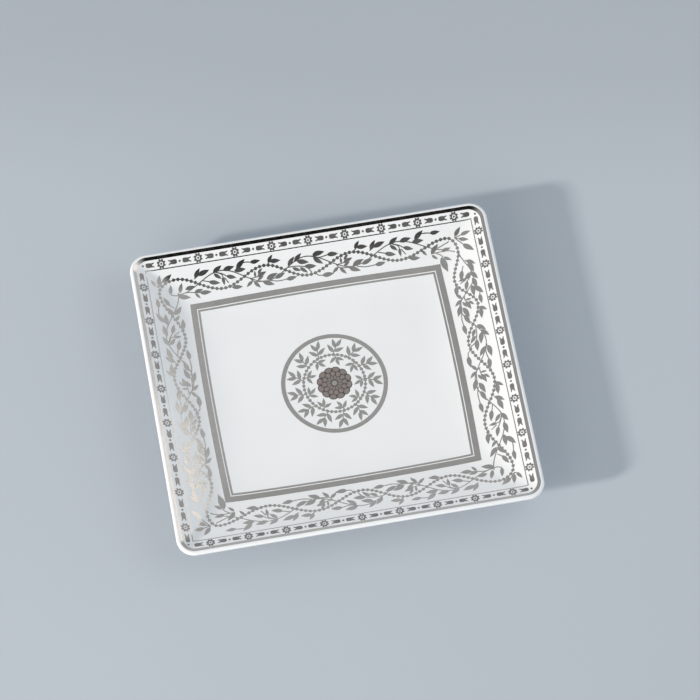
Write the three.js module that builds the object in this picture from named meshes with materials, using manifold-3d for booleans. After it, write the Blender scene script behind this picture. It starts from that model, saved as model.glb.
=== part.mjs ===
// Ceramic tray: a shallow rectangular porcelain dish with a rounded lip and a foot ring. Its inner face
// carries platinum ornament: a line under the lip, a rosette frieze, a leafy border, a frame, a medallion.
// Millimetres, +Z up, +X along the long side. The origin is under the middle of the foot ring.
import * as THREE from "three";
import { mergeVertices } from "three/addons/utils/BufferGeometryUtils.js";
import Module from "manifold-3d";

const wasm = await Module();
wasm.setup();

// Porcelain
const LENGTH = 200;
const WIDTH = 178;
const LIP_CORNER_RADIUS = 9.7;
const CORNER_TURN = 9; // in plan, from the lip to where the corners are tightest
const CORNER_GROWTH = 0.35; // how much their radius grows from there, per millimetre
const SIDE_WIDTH = 50; // in plan, from the lip to the flat well
const SIDE_RISE = 13.1; // climb of the side's curve from the well to the lip
const SIDE_POWER = 2.4; // 1 is a straight slope, more turns up later
const WALL = 3;
const FOOT_SETBACK = 34; // in plan, from the lip to the foot ring's outer side
const FOOT_WIDTH = 5;
const FOOT_HEIGHT = 5;
const FOOT_CHAMFER = 0.8;

// Platinum lines, each set back from the lip in plan
const RIM_BAND_SETBACK = 1.95;
const RIM_BAND_WIDTH = 1.7;
const GUARD_SETBACK = 8.5;
const GUARD_WIDTH = 0.5;
const GUARD_BREAK = 1.9; // the seam where the guard line's two ends meet
const GUARD_BREAK_X = 44;
const FRAME_SETBACK = 28.85;
const FRAME_BAND_WIDTH = 3.2;
const FRAME_LINE_GAP = 0.55;
const FRAME_LINE_WIDTH = 1.1;
const FRAME_BOW = 1; // how far the frame's sides bulge outwards between their corners

// Rosettes of the frieze
const ROSETTES_LONG = 9;
const ROSETTES_SHORT = 8;
const FRIEZE_END = 7.6; // in plan, from the lip to each end of a side's row
const ROSETTE_PETALS = 8;
const ROSETTE_REACH = 0.15; // overlap onto the guard line
const ROSETTE_CLEARANCE = 0.3; // to the rim band
const ROSETTE_NOTCH = 0.82; // radius between petals, as a share of the petals' own

// Leafy border between the guard line and the frame. Turning points of the bead string are places
// along the half side (-1 to 1) and across the border (0 at the guard line, 1 at the frame).
const LONG_TURNS = [
  [-0.757, 0.31],
  [-0.505, 0.74],
  [-0.262, 0.31],
  [-0.03, 0.75],
  [0.222, 0.33],
  [0.485, 0.75],
  [0.758, 0.37],
];
const SHORT_TURNS = [
  [-0.728, 0.5],
  [-0.53, 0.76],
  [-0.344, 0.27],
  [-0.1, 0.74],
  [0.167, 0.26],
  [0.445, 0.76],
  [0.748, 0.26],
];
const STRING_WIDTH = 1.2;
const STEM_WIDTH = 0.5;
const LEAF_WIDTH = 0.35; // share of the leaf's length
const LEAF_BELLY = 0.42; // where along the leaf it is widest
const LEAF_ROOT = 0.25; // how far a leaf starts behind the line it grows from
const SECTOR_GAP = 0.4; // between the borders of neighbouring sides
// Leaves of one bow of the stem: place along the bow, angle from the way the stem grows (degrees,
// towards the lip), length as a share of the border's width.
const LIP_SIDE_LEAVES = [
  [0.04, 61, 0.27],
  [0.08, 22, 0.38],
  [0.18, -16, 0.33],
  [0.38, 35, 0.31],
  [0.4, -53, 0.23],
  [0.57, 15, 0.33],
  [0.55, -84, 0.25],
  [0.63, -20, 0.29],
  [0.84, 48, 0.32],
  [0.86, -4, 0.26],
];
const FRAME_SIDE_LEAVES = [
  [0.12, -140, 0.25],
  [0.18, -66, 0.24],
  [0.2, 88, 0.18],
  [0.25, 38, 0.3],
  [0.36, -32, 0.36],
  [0.44, 26, 0.33],
  [0.66, 25, 0.34],
  [0.7, -40, 0.28],
  [0.9, 0, 0.32],
];
// Leaves at each end of a side: angle from the way to the corner, length as above.
const CORNER_LEAVES = [
  [70, 0.28],
  [22, 0.3],
];

// Medallion in the middle of the well
const RING_RADIUS = 28.05;
const RING_WIDTH = 2.3;
const WREATH_RADIUS = 16.9;
const WREATH_SPRAYS = 9;
const OUTER_SPRAY = { angles: [-70, -28, 14, 56], length: 6.6 };
const INNER_SPRAY = { angles: [-56, 0, 52], length: 4.8 };
const FLOWER_RADIUS = 9.75;
const FLOWER_PETALS = 12;
const FLOWER_INNER = 0.66; // inner row of petals, share of the radius
const FLOWER_EYE = 1.6;
const FLOWER_NOTCH = 0.88;
const FLOWER_ROW_RISE = 0.08; // each row of petals above the one around it

// The platinum is drawn thick enough to be a solid, a hair above the porcelain.
const PRINT_THICKNESS = 0.15;
const PRINT_GAP = 0.1;

// Facets
const CORNER_STEPS = 8;
const SIDE_STEPS = 14;
const LIP_STEPS = 6;
const UNDERSIDE_STEPS = 7;
const LINE_STEPS = 7;
const BOW_STEPS = 5;
const CIRCLE_STEPS = 48;
const EYE_STEPS = 16;
const ROSETTE_STEPS = 2; // per petal
const FLOWER_STEPS = 4; // per petal
const SOLVE_PASSES = 40; // rounds of a search for a place on the section

const WELL_LEVEL = FOOT_HEIGHT + WALL;
const BORDER_START = GUARD_SETBACK + GUARD_WIDTH;
const BORDER_WIDTH = FRAME_SETBACK - BORDER_START;

const porcelain = new THREE.MeshStandardMaterial({ color: 0xf4f6f6, roughness: 0.08, metalness: 0 });
const platinum = new THREE.MeshStandardMaterial({ color: 0x9a948d, roughness: 0.25, metalness: 1 });
const darkPlatinum = new THREE.MeshStandardMaterial({ color: 0x6f625b, roughness: 0.35, metalness: 1 });

// Shape of the inner face

// Height of the inner face along a line a given plan distance inside the lip.
function faceHeight(setback) {
  const climb = Math.max(0, 1 - setback / SIDE_WIDTH);
  return WELL_LEVEL + SIDE_RISE * climb ** SIDE_POWER;
}

// Slope angle of the inner face on that line.
function faceSlope(setback) {
  const climb = Math.max(0, 1 - setback / SIDE_WIDTH);
  return Math.atan((SIDE_RISE * SIDE_POWER * climb ** (SIDE_POWER - 1)) / SIDE_WIDTH);
}

// Corner radius of the line a given plan distance inside the lip. It shrinks under the lip, as a parallel
// line's does, and opens out again towards the well.
function cornerRadius(setback) {
  const bend = Math.min(setback, CORNER_TURN * (1 + CORNER_GROWTH));
  return LIP_CORNER_RADIUS - bend + bend ** 2 / (2 * CORNER_TURN) + CORNER_GROWTH * (setback - bend);
}

// Plan outline of that line: a rectangle with rounded corners.
function outlineAt(setback) {
  const radius = cornerRadius(setback);
  const centreX = LENGTH / 2 - setback - radius;
  const centreY = WIDTH / 2 - setback - radius;
  const points = [];
  for (let corner = 0; corner < 4; corner++) {
    const signX = corner === 0 || corner === 3 ? 1 : -1;
    const signY = corner < 2 ? 1 : -1;
    for (let step = 0; step <= CORNER_STEPS; step++) {
      const angle = (corner + step / CORNER_STEPS) * (Math.PI / 2);
      const x = signX * centreX + radius * Math.cos(angle);
      const y = signY * centreY + radius * Math.sin(angle);
      points.push(new THREE.Vector2(x, y));
    }
  }
  return points;
}

// Plan distance from the lip of a point on the inner face, the inverse of outlineAt.
function setbackAt(x, y) {
  let near = 0;
  let far = Math.min(LENGTH, WIDTH) / 2;
  for (let pass = 0; pass < SOLVE_PASSES; pass++) {
    const middle = (near + far) / 2;
    const radius = cornerRadius(middle);
    const beyondX = Math.abs(x) - LENGTH / 2 + middle + radius;
    const beyondY = Math.abs(y) - WIDTH / 2 + middle + radius;
    const inCorner = beyondX > 0 && beyondY > 0;
    const reach = inCorner ? Math.hypot(beyondX, beyondY) : Math.max(beyondX, beyondY);
    if (reach > radius) {
      far = middle;
    } else {
      near = middle;
    }
  }
  return near;
}

// Porcelain body

// Section from the well's edge up the inner face, over the lip, down the outer face and round the foot.
function bodySection() {
  const section = [];
  let lipSlope = faceSlope(0);
  let lipStart = 0;
  for (let pass = 0; pass < SOLVE_PASSES; pass++) {
    lipStart = (WALL / 2) * (1 + Math.sin(lipSlope));
    lipSlope = faceSlope(lipStart);
  }
  for (let step = 0; step <= SIDE_STEPS; step++) {
    const setback = SIDE_WIDTH + ((lipStart - SIDE_WIDTH) * step) / SIDE_STEPS;
    section.push([setback, faceHeight(setback)]);
  }
  const lipCentre = [
    lipStart - (WALL / 2) * Math.sin(lipSlope),
    faceHeight(lipStart) - (WALL / 2) * Math.cos(lipSlope),
  ];
  for (let step = 1; step < LIP_STEPS; step++) {
    const angle = Math.PI / 2 + lipSlope - (Math.PI * step) / LIP_STEPS;
    const setback = lipCentre[0] - (WALL / 2) * Math.cos(angle);
    section.push([setback, lipCentre[1] + (WALL / 2) * Math.sin(angle)]);
  }
  // The outer face follows the inner one at the wall's thickness, as far as the foot.
  let near = lipStart;
  let far = FOOT_SETBACK + WALL;
  for (let pass = 0; pass < SOLVE_PASSES; pass++) {
    const middle = (near + far) / 2;
    if (middle - WALL * Math.sin(faceSlope(middle)) < FOOT_SETBACK) {
      near = middle;
    } else {
      far = middle;
    }
  }
  for (let step = 0; step <= UNDERSIDE_STEPS; step++) {
    const setback = lipStart + ((near - lipStart) * step) / UNDERSIDE_STEPS;
    const slope = faceSlope(setback);
    section.push([setback - WALL * Math.sin(slope), faceHeight(setback) - WALL * Math.cos(slope)]);
  }
  section.push([FOOT_SETBACK, FOOT_CHAMFER]);
  section.push([FOOT_SETBACK + FOOT_CHAMFER, 0]);
  section.push([FOOT_SETBACK + FOOT_WIDTH - FOOT_CHAMFER, 0]);
  section.push([FOOT_SETBACK + FOOT_WIDTH, FOOT_CHAMFER]);
  section.push([FOOT_SETBACK + FOOT_WIDTH, FOOT_HEIGHT]);
  return section;
}

// Sweeps the section round the rounded rectangle and closes it across the well and the underside.
function bodyGeometry() {
  const positions = [];
  const faces = [];
  const section = bodySection();
  for (const [setback, height] of section) {
    for (const point of outlineAt(setback)) {
      positions.push(point.x, point.y, height);
    }
  }
  const around = 4 * (CORNER_STEPS + 1);
  for (let ring = 0; ring < section.length - 1; ring++) {
    for (let i = 0; i < around; i++) {
      const next = (i + 1) % around;
      const a = ring * around + i;
      const b = ring * around + next;
      const c = (ring + 1) * around + next;
      const d = (ring + 1) * around + i;
      faces.push(a, d, b, b, d, c);
    }
  }
  const wellCentre = positions.length / 3;
  positions.push(0, 0, WELL_LEVEL);
  positions.push(0, 0, FOOT_HEIGHT);
  const lastRing = (section.length - 1) * around;
  for (let i = 0; i < around; i++) {
    const next = (i + 1) % around;
    faces.push(i, next, wellCentre);
    faces.push(lastRing + next, lastRing + i, wellCentre + 1);
  }
  const geometry = new THREE.BufferGeometry();
  geometry.setAttribute("position", new THREE.Float32BufferAttribute(positions, 3));
  geometry.setIndex(faces);
  geometry.computeVertexNormals();
  return geometry;
}

// Flat print shapes and how they are laid on the inner face

// A solid from triangles over shared corner points.
function solid(corners, triangles) {
  const vertProperties = new Float32Array(corners);
  const triVerts = new Uint32Array(triangles);
  return new wasm.Manifold(new wasm.Mesh({ numProp: 3, vertProperties, triVerts }));
}

// A flat solid with the given plan outline.
function flatPrint(outline, thickness = PRINT_THICKNESS) {
  const shape = new THREE.Shape(outline);
  const extruded = new THREE.ExtrudeGeometry(shape, { depth: thickness, bevelEnabled: false });
  extruded.deleteAttribute("normal");
  extruded.deleteAttribute("uv");
  const merged = mergeVertices(extruded, 1e-5);
  return solid(merged.attributes.position.array, merged.index.array);
}

// A flat solid between two lines with the same number of points, left and right of its way. A closed
// strip runs round to its start, an open one has two ends.
function flatStrip(left, right, closed) {
  const corners = [];
  const triangles = [];
  const quad = (a, b, c, d) => triangles.push(a, b, c, a, c, d);
  for (let i = 0; i < left.length; i++) {
    corners.push(left[i].x, left[i].y, 0, left[i].x, left[i].y, PRINT_THICKNESS);
    corners.push(right[i].x, right[i].y, 0, right[i].x, right[i].y, PRINT_THICKNESS);
  }
  const spans = closed ? left.length : left.length - 1;
  for (let i = 0; i < spans; i++) {
    const here = 4 * i;
    const next = 4 * ((i + 1) % left.length);
    quad(here + 1, here + 3, next + 3, next + 1);
    quad(here, next, next + 2, here + 2);
    quad(here, here + 1, next + 1, next);
    quad(here + 2, next + 2, next + 3, here + 3);
  }
  if (!closed) {
    const end = 4 * spans;
    quad(0, 2, 3, 1);
    quad(end, end + 1, end + 3, end + 2);
  }
  return solid(corners, triangles);
}

function joined(prints) {
  return prints.reduce((whole, print) => whole.add(print));
}

// Lifts a flat print onto the inner face.
function laidPrint(print) {
  const mesh = print.getMesh();
  const positions = new Float32Array(mesh.vertProperties);
  for (let i = 0; i < positions.length; i += 3) {
    const setback = setbackAt(positions[i], positions[i + 1]);
    positions[i + 2] += faceHeight(setback) + PRINT_GAP;
  }
  const geometry = new THREE.BufferGeometry();
  geometry.setAttribute("position", new THREE.BufferAttribute(positions, 3));
  geometry.setIndex(new THREE.BufferAttribute(new Uint32Array(mesh.triVerts), 1));
  geometry.computeVertexNormals();
  return geometry;
}

function circle(radius, steps = CIRCLE_STEPS) {
  const points = [];
  for (let step = 0; step < steps; step++) {
    const angle = (2 * Math.PI * step) / steps;
    points.push(new THREE.Vector2(radius * Math.cos(angle), radius * Math.sin(angle)));
  }
  return points;
}

// A round flower outline whose radius falls to the notch share between the petals.
function petalOutline(centre, radius, petals, notch, stepsPerPetal) {
  const points = [];
  const steps = petals * stepsPerPetal;
  for (let step = 0; step < steps; step++) {
    const angle = (2 * Math.PI * step) / steps;
    const swell = Math.abs(Math.cos((petals * angle) / 2));
    const reach = radius * (notch + (1 - notch) * swell);
    points.push(new THREE.Vector2(centre.x + reach * Math.cos(angle), centre.y + reach * Math.sin(angle)));
  }
  return points;
}

// A rectangle a given distance inside the lip, with sharp corners and points that crowd towards them.
function rectangleAt(setback, bow = 0) {
  const halfX = LENGTH / 2 - setback;
  const halfY = WIDTH / 2 - setback;
  const points = [];
  for (let side = 0; side < 4; side++) {
    for (let step = -LINE_STEPS; step < LINE_STEPS; step++) {
      const along = Math.sin(((step / LINE_STEPS) * Math.PI) / 2);
      const halfSide = side % 2 === 0 ? halfX : halfY;
      const halfAcross = side % 2 === 0 ? halfY : halfX;
      const u = along * (halfSide - bow);
      const v = halfAcross - bow * along ** 2;
      points.push(new THREE.Vector2(u, v).rotateAround(new THREE.Vector2(), (-side * Math.PI) / 2));
    }
  }
  return points;
}

// A strip of even width along a line of points.
function ribbon(line, width) {
  const left = [];
  const right = [];
  for (let i = 0; i < line.length; i++) {
    const before = line[Math.max(0, i - 1)];
    const after = line[Math.min(line.length - 1, i + 1)];
    const way = after.clone().sub(before).normalize();
    const across = new THREE.Vector2(-way.y, way.x).multiplyScalar(width / 2);
    left.push(line[i].clone().add(across));
    right.push(line[i].clone().sub(across));
  }
  return flatStrip(left, right, false);
}

// A pointed leaf that grows from a point in a given direction.
function leaf(foot, angle, length) {
  const half = (length * LEAF_WIDTH) / 2;
  const outline = [
    [-LEAF_ROOT, 0],
    [length * LEAF_BELLY, -half],
    [length, 0],
    [length * LEAF_BELLY, half],
  ];
  const turned = outline.map(([along, across]) => {
    const point = new THREE.Vector2(along, across);
    return point.rotateAround(new THREE.Vector2(), angle).add(foot);
  });
  return flatPrint(turned);
}

// Rim band, frieze and frame

// Both outlines run clockwise, so the outer one is on the left.
function lineAround(setback, width, bow = 0) {
  return flatStrip(rectangleAt(setback, bow), rectangleAt(setback + width, bow), true);
}

// These run anticlockwise, so the inner one is on the left.
function ringAround(radius, width) {
  return flatStrip(circle(radius - width / 2), circle(radius + width / 2), true);
}

function frieze() {
  const inner = GUARD_SETBACK + ROSETTE_REACH;
  const outer = RIM_BAND_SETBACK + RIM_BAND_WIDTH + ROSETTE_CLEARANCE;
  const radius = (inner - outer) / 2;
  const setback = (inner + outer) / 2;
  const rosettes = [];
  for (let side = 0; side < 4; side++) {
    const long = side % 2 === 0;
    const count = long ? ROSETTES_LONG : ROSETTES_SHORT;
    const run = (long ? LENGTH : WIDTH) - 2 * FRIEZE_END;
    const across = (long ? WIDTH : LENGTH) / 2 - setback;
    for (let i = 0; i < count; i++) {
      const along = ((i + 0.5) / count - 0.5) * run;
      const centre = new THREE.Vector2(along, across);
      centre.rotateAround(new THREE.Vector2(), (-side * Math.PI) / 2);
      rosettes.push(flatPrint(petalOutline(centre, radius, ROSETTE_PETALS, ROSETTE_NOTCH, ROSETTE_STEPS)));
    }
  }
  const guardY = WIDTH / 2 - GUARD_SETBACK - GUARD_WIDTH / 2;
  const seamStart = new THREE.Vector2(GUARD_BREAK_X - GUARD_BREAK / 2, guardY);
  const seamEnd = new THREE.Vector2(GUARD_BREAK_X + GUARD_BREAK / 2, guardY);
  const seam = ribbon([seamStart, seamEnd], 2 * GUARD_WIDTH);
  const guard = lineAround(GUARD_SETBACK, GUARD_WIDTH).subtract(seam);
  return joined([guard, ...rosettes]);
}

// Leafy border

// Point of a wave through turning points: halfway between two of them it crosses from one to the other.
function waveAt(turns, along) {
  let i = 0;
  while (i < turns.length - 2 && along > turns[i + 1][0]) {
    i += 1;
  }
  const [start, from] = turns[i];
  const [end, to] = turns[i + 1];
  const share = THREE.MathUtils.clamp((along - start) / (end - start), 0, 1);
  return from + ((to - from) * (1 - Math.cos(Math.PI * share))) / 2;
}

// One side's border, seen with the lip upwards. halfSide runs along it, halfAcross from the middle to the
// lip. before and after hold the neighbouring side's last and first turning point.
function leafyBorder(halfSide, halfAcross, turns, before, after, turn) {
  const origin = new THREE.Vector2();
  const place = (along, across) => {
    const y = halfAcross - BORDER_START - across * BORDER_WIDTH;
    return new THREE.Vector2(along * halfSide, y).rotateAround(origin, turn);
  };
  // The string rounds each corner on a quarter ellipse to the neighbouring side's nearest turning point.
  const corner = (end, neighbour, sign) => {
    const from = [end[0] * halfSide, halfAcross - BORDER_START - end[1] * BORDER_WIDTH];
    const to = [
      sign * (halfSide - BORDER_START - neighbour[1] * BORDER_WIDTH),
      Math.abs(neighbour[0]) * halfAcross,
    ];
    const points = [];
    for (let step = 1; step <= BOW_STEPS; step++) {
      const angle = ((step / BOW_STEPS) * Math.PI) / 2;
      const x = from[0] + (to[0] - from[0]) * Math.sin(angle);
      const y = to[1] + (from[1] - to[1]) * Math.cos(angle);
      points.push(new THREE.Vector2(x, y).rotateAround(origin, turn));
    }
    return points;
  };
  const wave = (points) => {
    const line = [];
    for (let i = 0; i < points.length - 1; i++) {
      for (let step = i === 0 ? 0 : 1; step <= BOW_STEPS; step++) {
        const along = points[i][0] + ((points[i + 1][0] - points[i][0]) * step) / BOW_STEPS;
        line.push(place(along, waveAt(points, along)));
      }
    }
    return line;
  };
  const last = turns.length - 1;
  const startCorner = corner(turns[0], before, -1).reverse();
  const endCorner = corner(turns[last], after, 1);
  const string = [...startCorner, ...wave(turns), ...endCorner];
  // The leafy stem mirrors the string across the border's middle, so the two cross.
  const stemTurns = turns.map(([along, across]) => [along, 1 - across]);
  const prints = [ribbon(string, STRING_WIDTH), ribbon(wave(stemTurns), STEM_WIDTH)];
  for (let i = 0; i <= last; i++) {
    const start = i === 0 ? 2 * turns[0][0] - turns[1][0] : turns[i - 1][0];
    const end = i === last ? 2 * turns[last][0] - turns[last - 1][0] : turns[i + 1][0];
    const bowStart = (start + turns[i][0]) / 2;
    const bowEnd = (end + turns[i][0]) / 2;
    const leaves = i % 2 === 1 ? LIP_SIDE_LEAVES : FRAME_SIDE_LEAVES;
    for (const [share, angle, length] of leaves) {
      const along = bowStart + (bowEnd - bowStart) * share;
      if (along >= turns[0][0] && along <= turns[last][0]) {
        const foot = place(along, waveAt(stemTurns, along));
        const direction = THREE.MathUtils.degToRad(angle) + turn;
        prints.push(leaf(foot, direction, length * BORDER_WIDTH));
      }
    }
  }
  // Leaves fill the outer corners, from where the string starts to turn.
  for (const [foot, sign] of [[startCorner[BOW_STEPS - 1], -1], [endCorner[0], 1]]) {
    for (const [angle, length] of CORNER_LEAVES) {
      const direction = Math.PI / 2 + sign * (THREE.MathUtils.degToRad(angle) - Math.PI / 2);
      prints.push(leaf(foot, direction + turn, length * BORDER_WIDTH));
    }
  }
  // Each side keeps to its own part of the corner, up to the mitre.
  const sector = [
    new THREE.Vector2(-halfSide + SECTOR_GAP, halfAcross),
    new THREE.Vector2(-halfSide + SIDE_WIDTH + SECTOR_GAP, halfAcross - SIDE_WIDTH),
    new THREE.Vector2(halfSide - SIDE_WIDTH - SECTOR_GAP, halfAcross - SIDE_WIDTH),
    new THREE.Vector2(halfSide - SECTOR_GAP, halfAcross),
  ];
  const turnedSector = sector.map((point) => point.rotateAround(origin, turn));
  return joined(prints).intersect(flatPrint(turnedSector));
}

// Medallion

function wreath() {
  const prints = [ringAround(WREATH_RADIUS, STRING_WIDTH)];
  for (let i = 0; i < WREATH_SPRAYS; i++) {
    const place = (2 * Math.PI * i) / WREATH_SPRAYS;
    const outward = new THREE.Vector2(WREATH_RADIUS, 0).rotateAround(new THREE.Vector2(), place);
    for (const angle of OUTER_SPRAY.angles) {
      prints.push(leaf(outward, place + THREE.MathUtils.degToRad(angle), OUTER_SPRAY.length));
    }
    const innerPlace = place + Math.PI / WREATH_SPRAYS;
    const inward = new THREE.Vector2(WREATH_RADIUS, 0).rotateAround(new THREE.Vector2(), innerPlace);
    for (const angle of INNER_SPRAY.angles) {
      const direction = innerPlace + Math.PI + THREE.MathUtils.degToRad(angle);
      prints.push(leaf(inward, direction, INNER_SPRAY.length));
    }
  }
  return joined(prints);
}

// Two rows of petals and an eye, each row a little prouder than the one around it.
function flower() {
  const centre = new THREE.Vector2();
  const innerRadius = FLOWER_RADIUS * FLOWER_INNER;
  const outer = petalOutline(centre, FLOWER_RADIUS, FLOWER_PETALS, FLOWER_NOTCH, FLOWER_STEPS);
  const inner = petalOutline(centre, innerRadius, FLOWER_PETALS, FLOWER_NOTCH, FLOWER_STEPS);
  return joined([
    flatPrint(outer),
    flatPrint(inner, PRINT_THICKNESS + FLOWER_ROW_RISE),
    flatPrint(circle(FLOWER_EYE, EYE_STEPS), PRINT_THICKNESS + 2 * FLOWER_ROW_RISE),
  ]);
}

// Assembly

const tray = new THREE.Group();

function addNode(name, geometry, material, turn = 0) {
  const mesh = new THREE.Mesh(geometry, material);
  mesh.name = name;
  mesh.rotation.z = turn;
  tray.add(mesh);
}

addNode("tray_body", bodyGeometry(), porcelain);

const rimBandOuter = outlineAt(RIM_BAND_SETBACK);
const rimBandInner = outlineAt(RIM_BAND_SETBACK + RIM_BAND_WIDTH);
addNode("rim_band", laidPrint(flatStrip(rimBandInner, rimBandOuter, true)), platinum);
addNode("frieze", laidPrint(frieze()), platinum);

const frameLineSetback = FRAME_SETBACK + FRAME_BAND_WIDTH + FRAME_LINE_GAP;
addNode("frame_band", laidPrint(lineAround(FRAME_SETBACK, FRAME_BAND_WIDTH, FRAME_BOW)), platinum);
addNode("frame_line", laidPrint(lineAround(frameLineSetback, FRAME_LINE_WIDTH, FRAME_BOW)), platinum);

const shortEnd = SHORT_TURNS[SHORT_TURNS.length - 1];
const longEnd = LONG_TURNS[LONG_TURNS.length - 1];
const longBorder = leafyBorder(LENGTH / 2, WIDTH / 2, LONG_TURNS, shortEnd, SHORT_TURNS[0], 0);
const shortBorder = leafyBorder(WIDTH / 2, LENGTH / 2, SHORT_TURNS, longEnd, LONG_TURNS[0], -Math.PI / 2);
addNode("vine_back", laidPrint(longBorder), platinum);
addNode("vine_front", laidPrint(longBorder), platinum, Math.PI);
addNode("vine_right", laidPrint(shortBorder), platinum);
addNode("vine_left", laidPrint(shortBorder), platinum, Math.PI);

addNode("medallion_ring", laidPrint(ringAround(RING_RADIUS, RING_WIDTH)), platinum);
addNode("medallion_wreath", laidPrint(wreath()), platinum);
addNode("medallion_rosette", laidPrint(flower()), darkPlatinum);

export default tray;
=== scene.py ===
# Ceramic tray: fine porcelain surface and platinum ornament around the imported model, with a studio set.
import math

import bpy
import numpy as np
from mathutils import Matrix, Vector


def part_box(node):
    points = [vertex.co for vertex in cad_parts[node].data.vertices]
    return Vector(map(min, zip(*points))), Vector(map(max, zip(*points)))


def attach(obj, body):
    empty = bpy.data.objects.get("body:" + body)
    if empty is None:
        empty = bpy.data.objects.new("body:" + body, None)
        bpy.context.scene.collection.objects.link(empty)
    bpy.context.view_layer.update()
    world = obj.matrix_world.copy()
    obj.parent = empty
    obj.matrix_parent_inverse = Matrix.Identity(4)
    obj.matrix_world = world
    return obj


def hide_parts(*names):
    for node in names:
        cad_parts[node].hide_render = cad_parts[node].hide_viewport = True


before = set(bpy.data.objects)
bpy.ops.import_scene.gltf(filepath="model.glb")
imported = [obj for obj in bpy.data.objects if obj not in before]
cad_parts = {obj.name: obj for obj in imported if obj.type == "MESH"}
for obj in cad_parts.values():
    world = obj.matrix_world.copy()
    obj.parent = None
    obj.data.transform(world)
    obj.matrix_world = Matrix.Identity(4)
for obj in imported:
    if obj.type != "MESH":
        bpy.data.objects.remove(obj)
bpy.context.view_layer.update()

MM = 0.001  # in metres, the unit of the scene

# Lengths are in millimetres and angles in degrees. "In plan" means as seen from straight above.

# Porcelain
body_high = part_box("tray_body")[1]
HALF_LENGTH = body_high.x / MM
HALF_WIDTH = body_high.y / MM
LIP_CORNER_RADIUS = 9.7
CORNER_TURN = 9  # in plan, from the lip to where the corners are tightest
CORNER_GROWTH = 0.35  # how much their radius grows from there, per millimetre
SIDE_WIDTH = 50  # in plan, from the lip to the flat well
SIDE_RISE = 13.1
SIDE_POWER = 2.4  # of the sides' curve, which leaves the well flat and steepens towards the lip
WALL = 3
FOOT_SETBACK = 34
FOOT_WIDTH = 5
FOOT_HEIGHT = 5
FOOT_ROUND = 0.8
FOOT_FILLET = 1.2
WELL_LEVEL = FOOT_HEIGHT + WALL

# Platinum lines, each set back from the lip in plan
RIM_BAND_SETBACK = 1.95
RIM_BAND_WIDTH = 1.7
GUARD_SETBACK = 8.5
GUARD_WIDTH = 0.5
GUARD_BREAK = 1.9  # gap on the back side, between the two ends of the line
GUARD_BREAK_X = 44
FRAME_SETBACK = 28.85
FRAME_BAND_WIDTH = 3.2
FRAME_LINE_GAP = 0.55
FRAME_LINE_WIDTH = 1.1
FRAME_BOW = 1  # outwards, of the frame's sides

# Frieze: rosettes with a pair of darts and a dot between them
ROSETTES_LONG = 9
ROSETTES_SHORT = 8
FRIEZE_SETBACK = 6.1
FRIEZE_END = 7.6  # in plan, from the lip to each end of a side's row
ROSETTE_RING = (1.05, 1.78)  # inner and outer radius
ROSETTE_EYE = 0.55
ROSETTE_PETALS = 8
ROSETTE_PETAL_PLACE = 1.92
ROSETTE_PETAL_RADIUS = 0.56
SHORT_ROW_SHIFT = -0.8  # along the side, of the rows on the short sides
DART_START = 3.95  # from the middle of the rosette
DART_LENGTH = 4.75
# Half height of a dart against the share of its length, from the forked tail to the blunt head
DART_PROFILE = [(0, 1.3), (0.15, 1.1), (0.3, 1), (0.5, 1.15), (0.75, 1.2), (0.92, 1), (1, 0.6)]
DART_NOTCH = 0.3  # depth of the tail's notch, share of the length
DART_NOTCH_HALF = 0.8  # half height of the notch at its open end
DOT_RADIUS = 0.6

# Leafy border between the guard line and the frame. Turning points of the bead string are places
# along the half side (-1 to 1) and across the border (0 at the guard line, 1 at the frame).
LONG_TURNS = [
    (-0.757, 0.31),
    (-0.505, 0.74),
    (-0.262, 0.31),
    (-0.03, 0.75),
    (0.222, 0.33),
    (0.485, 0.75),
    (0.758, 0.37),
]
SHORT_TURNS = [
    (-0.728, 0.5),
    (-0.53, 0.76),
    (-0.344, 0.27),
    (-0.1, 0.74),
    (0.167, 0.26),
    (0.445, 0.76),
    (0.748, 0.26),
]
BORDER_START = GUARD_SETBACK + GUARD_WIDTH
BORDER_WIDTH = FRAME_SETBACK - BORDER_START
STRING_WIDTH = 0.55
BEAD_PITCH = 2.45
BEAD_RADIUS = 0.92
STEM_WIDTH = 0.55
STEM_SINK = 0.04  # of the stem's frame-side bows below the string's mirror image, share of the border
LEAF_WIDTH = 0.38  # share of the leaf's length
LEAF_FULLNESS = 0.8  # below 1 the widest place is nearer the foot than the tip
LEAF_BEND = 0.09  # sideways bend of the tip, share of the length
POINT_WIDTH = 0.06  # at the very ends of leaves and petals
HALF_WAVE = 24.4  # between turning points, where the sprays' places along the side are as written
# Sprays of the stem, one for each turning point of the string. A leaf is its place along the side, from
# the turning point, and across the border, its angle from the way the stem grows, towards the lip, and its
# length. A stalk is a line through such places.
LIP_SPRAY = {
    "leaves": [
        (-14.3, 0.34, 56, 5.7),
        (-12.4, 0.3, 22, 7),
        (-4.2, 0.3, 37, 6.3),
        (-3.8, 0.31, -46, 5.2),
        (1.3, 0.27, 15, 6.7),
        (2.6, 0.42, -23, 5.8),
        (0.8, 0.43, -94, 4.6),
        (-7.2, 0.5, -20, 6.4),
        (8.8, 0.28, 43, 6.9),
        (7.4, 0.33, 6, 6.6),
        (16.8, 0.17, -4, 5.8),
        (4.8, 0.745, -11, 6.1),
    ],
    "stalks": [
        [(-14.6, 0.37), (-12.2, 0.3)],
        [(-2.6, 0.29), (0.6, 0.35), (2.8, 0.43)],
        [(-2, 0.3), (0.2, 0.36), (0.8, 0.44)],
        [(1.6, 0.46), (3.4, 0.62)],
        [(-10.4, 0.45), (-7, 0.5)],
        [(9, 0.29), (11.4, 0.17), (14.4, 0.15), (17, 0.17)],
        [(3, 0.69), (5, 0.75)],
    ],
}
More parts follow.
